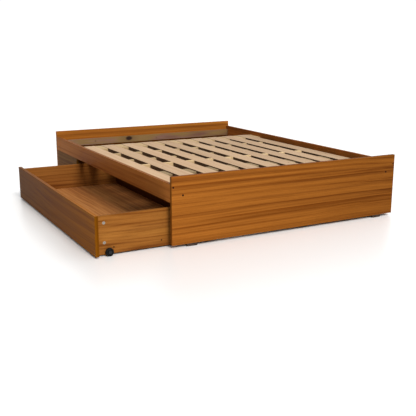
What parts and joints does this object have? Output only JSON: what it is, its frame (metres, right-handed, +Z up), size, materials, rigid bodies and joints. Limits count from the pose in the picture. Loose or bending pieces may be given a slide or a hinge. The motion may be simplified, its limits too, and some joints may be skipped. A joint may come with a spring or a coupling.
{
  "type": "platform bed with storage drawers",
  "caption": "Low double platform bed of laminated boards with a slatted deck and long under-bed storage drawers on floor wheels.",
  "frame": {"origin": "on the floor at the middle of the bed, under the middle glide of the centre board", "axes": "+X to the right side of the bed as seen from its foot, +Y from the footboard to the headboard, +Z up"},
  "size_m": [1.812, 1.926, 0.36],
  "materials": {
    "laminate": "satin teak-grain laminate on board",
    "pine": "planed, unfinished pine",
    "wheel_plastic": "moulded black",
    "glide_plastic": "moulded dark brown",
    "cam_zinc": "bright zinc die casting",
    "zinc_steel": "zinc plated",
    "dark_screw": "bronzed"
  },
  "bodies": {
    "bed": {"beam_01": "pine", "beam_02": "pine", "beam_03": "pine", "beam_04": "pine", "beam_05": "pine", "centre_board": "laminate", "foot_ledger": "pine", "footboard": "laminate", "footboard_glides": "glide_plastic", "footboard_screws": "dark_screw", "head_ledger": "pine", "head_plank": "pine", "head_side_panel_left": "laminate", "head_side_panel_right": "laminate", "headboard": "laminate", "headboard_glides": "glide_plastic", "headboard_screws": "dark_screw", "inner_glides": "glide_plastic", "mending_plates": "zinc_steel", "partition": "laminate", "side_ledger_left": "pine", "side_ledger_right": "pine", "side_rail_left": "laminate", "side_rail_right": "laminate", "slat_01": "pine", "slat_02": "pine", "slat_03": "pine", "slat_04": "pine", "slat_05": "pine", "slat_06": "pine", "slat_07": "pine", "slat_08": "pine", "slat_09": "pine", "slat_10": "pine", "slat_screws": "dark_screw"},
    "drawer_left": {"drawer_left_axle_bolts": "zinc_steel", "drawer_left_back": "laminate", "drawer_left_bottom": "laminate", "drawer_left_cams": "cam_zinc", "drawer_left_foot_side": "laminate", "drawer_left_front": "laminate", "drawer_left_head_side": "laminate", "drawer_left_screws": "dark_screw"},
    "wheel_left_foot_front": {"wheel_left_foot_front": "wheel_plastic"},
    "wheel_left_foot_rear": {"wheel_left_foot_rear": "wheel_plastic"},
    "wheel_left_head_front": {"wheel_left_head_front": "wheel_plastic"},
    "wheel_left_head_rear": {"wheel_left_head_rear": "wheel_plastic"},
    "drawer_right": {"drawer_right_axle_bolts": "zinc_steel", "drawer_right_back": "laminate", "drawer_right_bottom": "laminate", "drawer_right_cams": "cam_zinc", "drawer_right_foot_side": "laminate", "drawer_right_front": "laminate", "drawer_right_head_side": "laminate", "drawer_right_screws": "dark_screw"},
    "wheel_right_foot_front": {"wheel_right_foot_front": "wheel_plastic"},
    "wheel_right_foot_rear": {"wheel_right_foot_rear": "wheel_plastic"},
    "wheel_right_head_front": {"wheel_right_head_front": "wheel_plastic"},
    "wheel_right_head_rear": {"wheel_right_head_rear": "wheel_plastic"}
  },
  "joints": [
    {"name": "drawer_left_slide", "type": "slide", "parent": "bed", "child": "drawer_left", "axis": [-1, 0, 0], "range_m": [-0.386, 0.2]},
    {"name": "wheel_left_foot_front_roll", "type": "hinge", "parent": "drawer_left", "child": "wheel_left_foot_front", "pos_m": [-1.024, -0.9259, 0.02], "axis": [0, 1, 0], "continuous": true},
    {"name": "wheel_left_foot_rear_roll", "type": "hinge", "parent": "drawer_left", "child": "wheel_left_foot_rear", "pos_m": [-0.499, -0.9259, 0.02], "axis": [0, 1, 0], "continuous": true},
    {"name": "wheel_left_head_front_roll", "type": "hinge", "parent": "drawer_left", "child": "wheel_left_head_front", "pos_m": [-1.024, 0.4859, 0.02], "axis": [0, 1, 0], "continuous": true},
    {"name": "wheel_left_head_rear_roll", "type": "hinge", "parent": "drawer_left", "child": "wheel_left_head_rear", "pos_m": [-0.499, 0.4859, 0.02], "axis": [0, 1, 0], "continuous": true},
    {"name": "drawer_right_slide", "type": "slide", "parent": "bed", "child": "drawer_right", "axis": [1, 0, 0], "range_m": [0, 0.586]},
    {"name": "wheel_right_foot_front_roll", "type": "hinge", "parent": "drawer_right", "child": "wheel_right_foot_front", "pos_m": [0.638, -0.9259, 0.02], "axis": [0, 1, 0], "continuous": true},
    {"name": "wheel_right_foot_rear_roll", "type": "hinge", "parent": "drawer_right", "child": "wheel_right_foot_rear", "pos_m": [0.113, -0.9259, 0.02], "axis": [0, 1, 0], "continuous": true},
    {"name": "wheel_right_head_front_roll", "type": "hinge", "parent": "drawer_right", "child": "wheel_right_head_front", "pos_m": [0.638, 0.4859, 0.02], "axis": [0, 1, 0], "continuous": true},
    {"name": "wheel_right_head_rear_roll", "type": "hinge", "parent": "drawer_right", "child": "wheel_right_head_rear", "pos_m": [0.113, 0.4859, 0.02], "axis": [0, 1, 0], "continuous": true}
  ],
  "couplings": [
    {"joint": "wheel_left_foot_front_roll", "follows": "drawer_left_slide", "rad_per_m": -50},
    {"joint": "wheel_left_foot_rear_roll", "follows": "drawer_left_slide", "rad_per_m": -50},
    {"joint": "wheel_left_head_front_roll", "follows": "drawer_left_slide", "rad_per_m": -50},
    {"joint": "wheel_left_head_rear_roll", "follows": "drawer_left_slide", "rad_per_m": -50},
    {"joint": "wheel_right_foot_front_roll", "follows": "drawer_right_slide", "rad_per_m": 50},
    {"joint": "wheel_right_foot_rear_roll", "follows": "drawer_right_slide", "rad_per_m": 50},
    {"joint": "wheel_right_head_front_roll", "follows": "drawer_right_slide", "rad_per_m": 50},
    {"joint": "wheel_right_head_rear_roll", "follows": "drawer_right_slide", "rad_per_m": 50}
  ]
}
